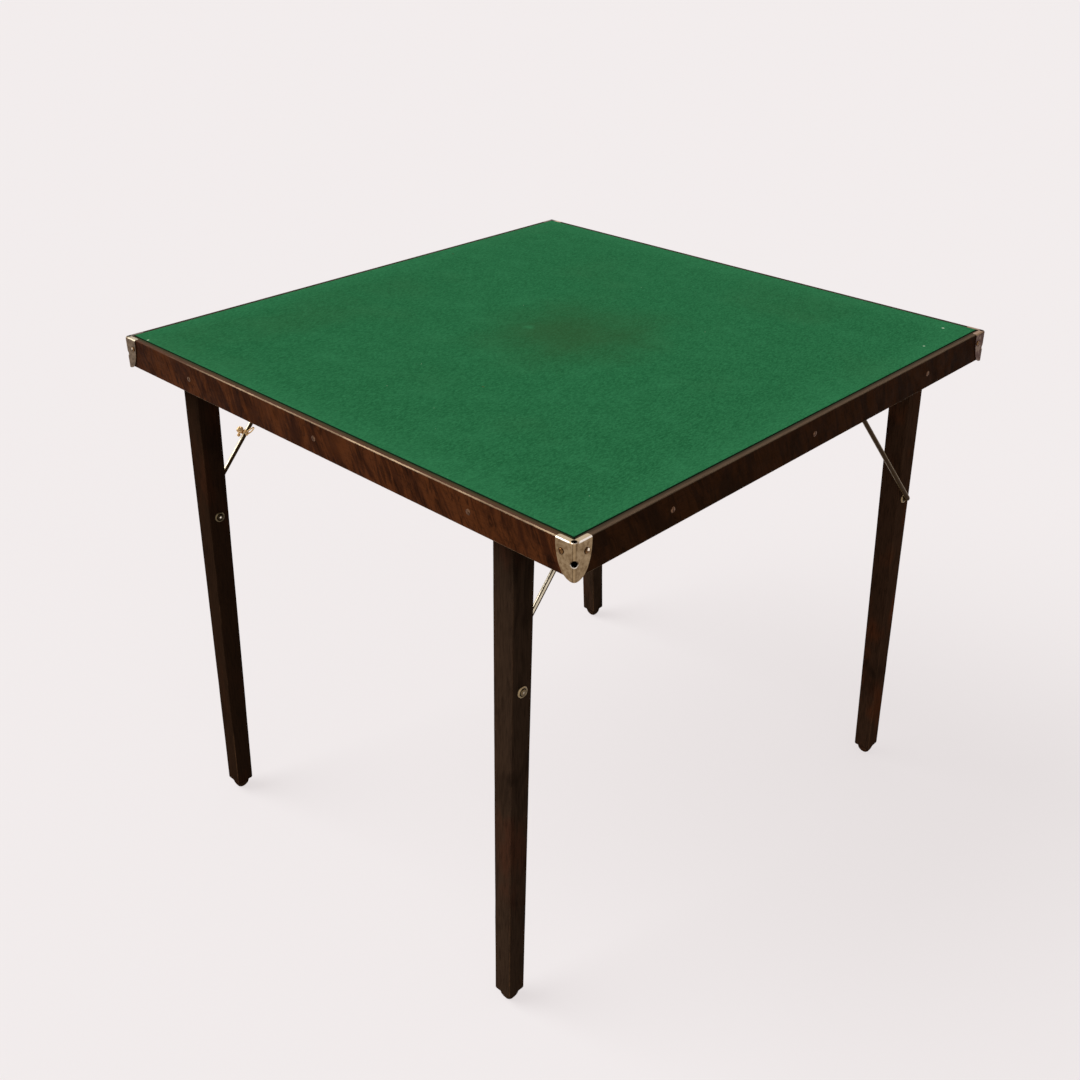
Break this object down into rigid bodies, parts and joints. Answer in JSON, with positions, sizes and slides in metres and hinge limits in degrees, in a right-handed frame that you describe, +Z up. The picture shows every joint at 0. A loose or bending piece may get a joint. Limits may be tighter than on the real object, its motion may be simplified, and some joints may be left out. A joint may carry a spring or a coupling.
{
  "type": "folding card table",
  "caption": "Square card table with a cloth top, metal-bound corners and tapered legs that fold flat under the top on rod stays.",
  "frame": {"origin": "on the floor, under the middle of the square top", "axes": "+Z up; X along the front and back aprons, which are the sides that the legs are hinged at; -Y to the front"},
  "size_m": [0.7664, 0.7664, 0.688],
  "materials": {
    "baize": "felted woollen cloth",
    "panel_wood": "bare board",
    "mahogany": "dark polished hardwood",
    "leg_wood": "very dark polished hardwood",
    "rail_wood": "stained softwood",
    "plated_steel": "aged nickel plate",
    "polished_steel": "polished wire rod",
    "dull_steel": "dull zinc plate"
  },
  "bodies": {
    "table_top": {"baize_top": "baize", "top_panel": "panel_wood", "apron_plug": "leg_wood", "apron_front": "mahogany", "apron_right": "mahogany", "apron_back": "mahogany", "apron_left": "mahogany", "hinge_rail_front": "rail_wood", "hinge_rail_back": "rail_wood", "side_rail_left": "rail_wood", "side_rail_right": "rail_wood", "runner_batten_left": "rail_wood", "runner_batten_right": "rail_wood", "corner_bracket_front_right": "plated_steel", "corner_bracket_back_right": "plated_steel", "corner_bracket_back_left": "plated_steel", "corner_bracket_front_left": "plated_steel", "corner_bracket_screws": "plated_steel", "apron_screws": "dull_steel", "hinge_plate_front_left_outer": "dull_steel", "hinge_plate_front_left_inner": "dull_steel", "leg_pivot_front_left": "dull_steel", "runner_front_left": "dull_steel", "hinge_plate_front_right_outer": "dull_steel", "hinge_plate_front_right_inner": "dull_steel", "leg_pivot_front_right": "dull_steel", "runner_front_right": "dull_steel", "hinge_plate_back_right_outer": "dull_steel", "hinge_plate_back_right_inner": "dull_steel", "leg_pivot_back_right": "dull_steel", "runner_back_right": "dull_steel", "hinge_plate_back_left_outer": "dull_steel", "hinge_plate_back_left_inner": "dull_steel", "leg_pivot_back_left": "dull_steel", "runner_back_left": "dull_steel", "hinge_plate_screws": "dull_steel", "runner_screws": "dull_steel"},
    "leg_front_left": {"leg_front_left": "leg_wood", "stay_washers_front_left": "polished_steel"},
    "stay_front_left": {"stay_front_left": "polished_steel"},
    "leg_front_right": {"leg_front_right": "leg_wood", "stay_washers_front_right": "polished_steel"},
    "stay_front_right": {"stay_front_right": "polished_steel"},
    "leg_back_right": {"leg_back_right": "leg_wood", "stay_washers_back_right": "polished_steel"},
    "stay_back_right": {"stay_back_right": "polished_steel"},
    "leg_back_left": {"leg_back_left": "leg_wood", "stay_washers_back_left": "polished_steel"},
    "stay_back_left": {"stay_back_left": "polished_steel"}
  },
  "joints": [
    {"name": "leg_front_left_fold", "type": "hinge", "parent": "table_top", "child": "leg_front_left", "pos_m": [-0.31118, -0.3267, 0.6638], "axis": [1, 0, 0], "range_deg": [0, 92]},
    {"name": "stay_front_left_swing", "type": "hinge", "parent": "leg_front_left", "child": "stay_front_left", "pos_m": [-0.31118, -0.33433, 0.44543], "axis": [-1, 0, 0], "range_deg": [0, 140.68]},
    {"name": "leg_front_right_fold", "type": "hinge", "parent": "table_top", "child": "leg_front_right", "pos_m": [0.25018, -0.3267, 0.6638], "axis": [1, 0, 0], "range_deg": [0, 92]},
    {"name": "stay_front_right_swing", "type": "hinge", "parent": "leg_front_right", "child": "stay_front_right", "pos_m": [0.25018, -0.33433, 0.44543], "axis": [-1, 0, 0], "range_deg": [0, 140.68]},
    {"name": "leg_back_right_fold", "type": "hinge", "parent": "table_top", "child": "leg_back_right", "pos_m": [0.31118, 0.3267, 0.6638], "axis": [-1, 0, 0], "range_deg": [0, 92]},
    {"name": "stay_back_right_swing", "type": "hinge", "parent": "leg_back_right", "child": "stay_back_right", "pos_m": [0.31118, 0.33433, 0.44543], "axis": [1, 0, 0], "range_deg": [0, 140.68]},
    {"name": "leg_back_left_fold", "type": "hinge", "parent": "table_top", "child": "leg_back_left", "pos_m": [-0.25018, 0.3267, 0.6638], "axis": [-1, 0, 0], "range_deg": [0, 92]},
    {"name": "stay_back_left_swing", "type": "hinge", "parent": "leg_back_left", "child": "stay_back_left", "pos_m": [-0.25018, 0.33433, 0.44543], "axis": [1, 0, 0], "range_deg": [0, 140.68]}
  ],
  "couplings": [
    {"joint": "stay_front_left_swing", "follows": "leg_front_left_fold", "ratio": 1.529},
    {"joint": "stay_front_right_swing", "follows": "leg_front_right_fold", "ratio": 1.529},
    {"joint": "stay_back_right_swing", "follows": "leg_back_right_fold", "ratio": 1.529},
    {"joint": "stay_back_left_swing", "follows": "leg_back_left_fold", "ratio": 1.529}
  ]
}
